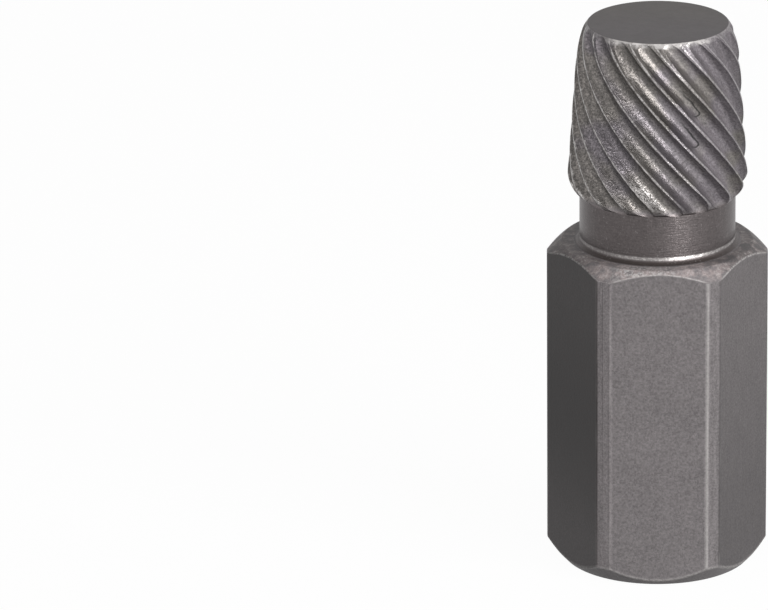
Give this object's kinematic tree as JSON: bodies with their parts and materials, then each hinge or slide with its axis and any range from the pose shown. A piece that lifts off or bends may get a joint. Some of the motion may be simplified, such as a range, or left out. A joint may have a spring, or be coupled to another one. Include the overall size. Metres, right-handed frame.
{
  "type": "screw extractor",
  "caption": "Screw extractor with a chamfered hexagon drive shank, a short turned neck and a tapered head cut with left-hand spiral splines.",
  "frame": {"origin": "middle of the flat base at the drive end of the hexagon shank", "axes": "+Z along the tool from the drive end to the tip; one flat of the hexagon faces -Y and the opposite one +Y, and two of its corners point along -X and +X"},
  "size_m": [0.0212, 0.019, 0.0538],
  "materials": {
    "steel": "dark phosphated and oiled tool steel, satin, with bright worn crests and edges"
  },
  "bodies": {
    "root": {"extractor": "steel"}
  },
  "joints": []
}
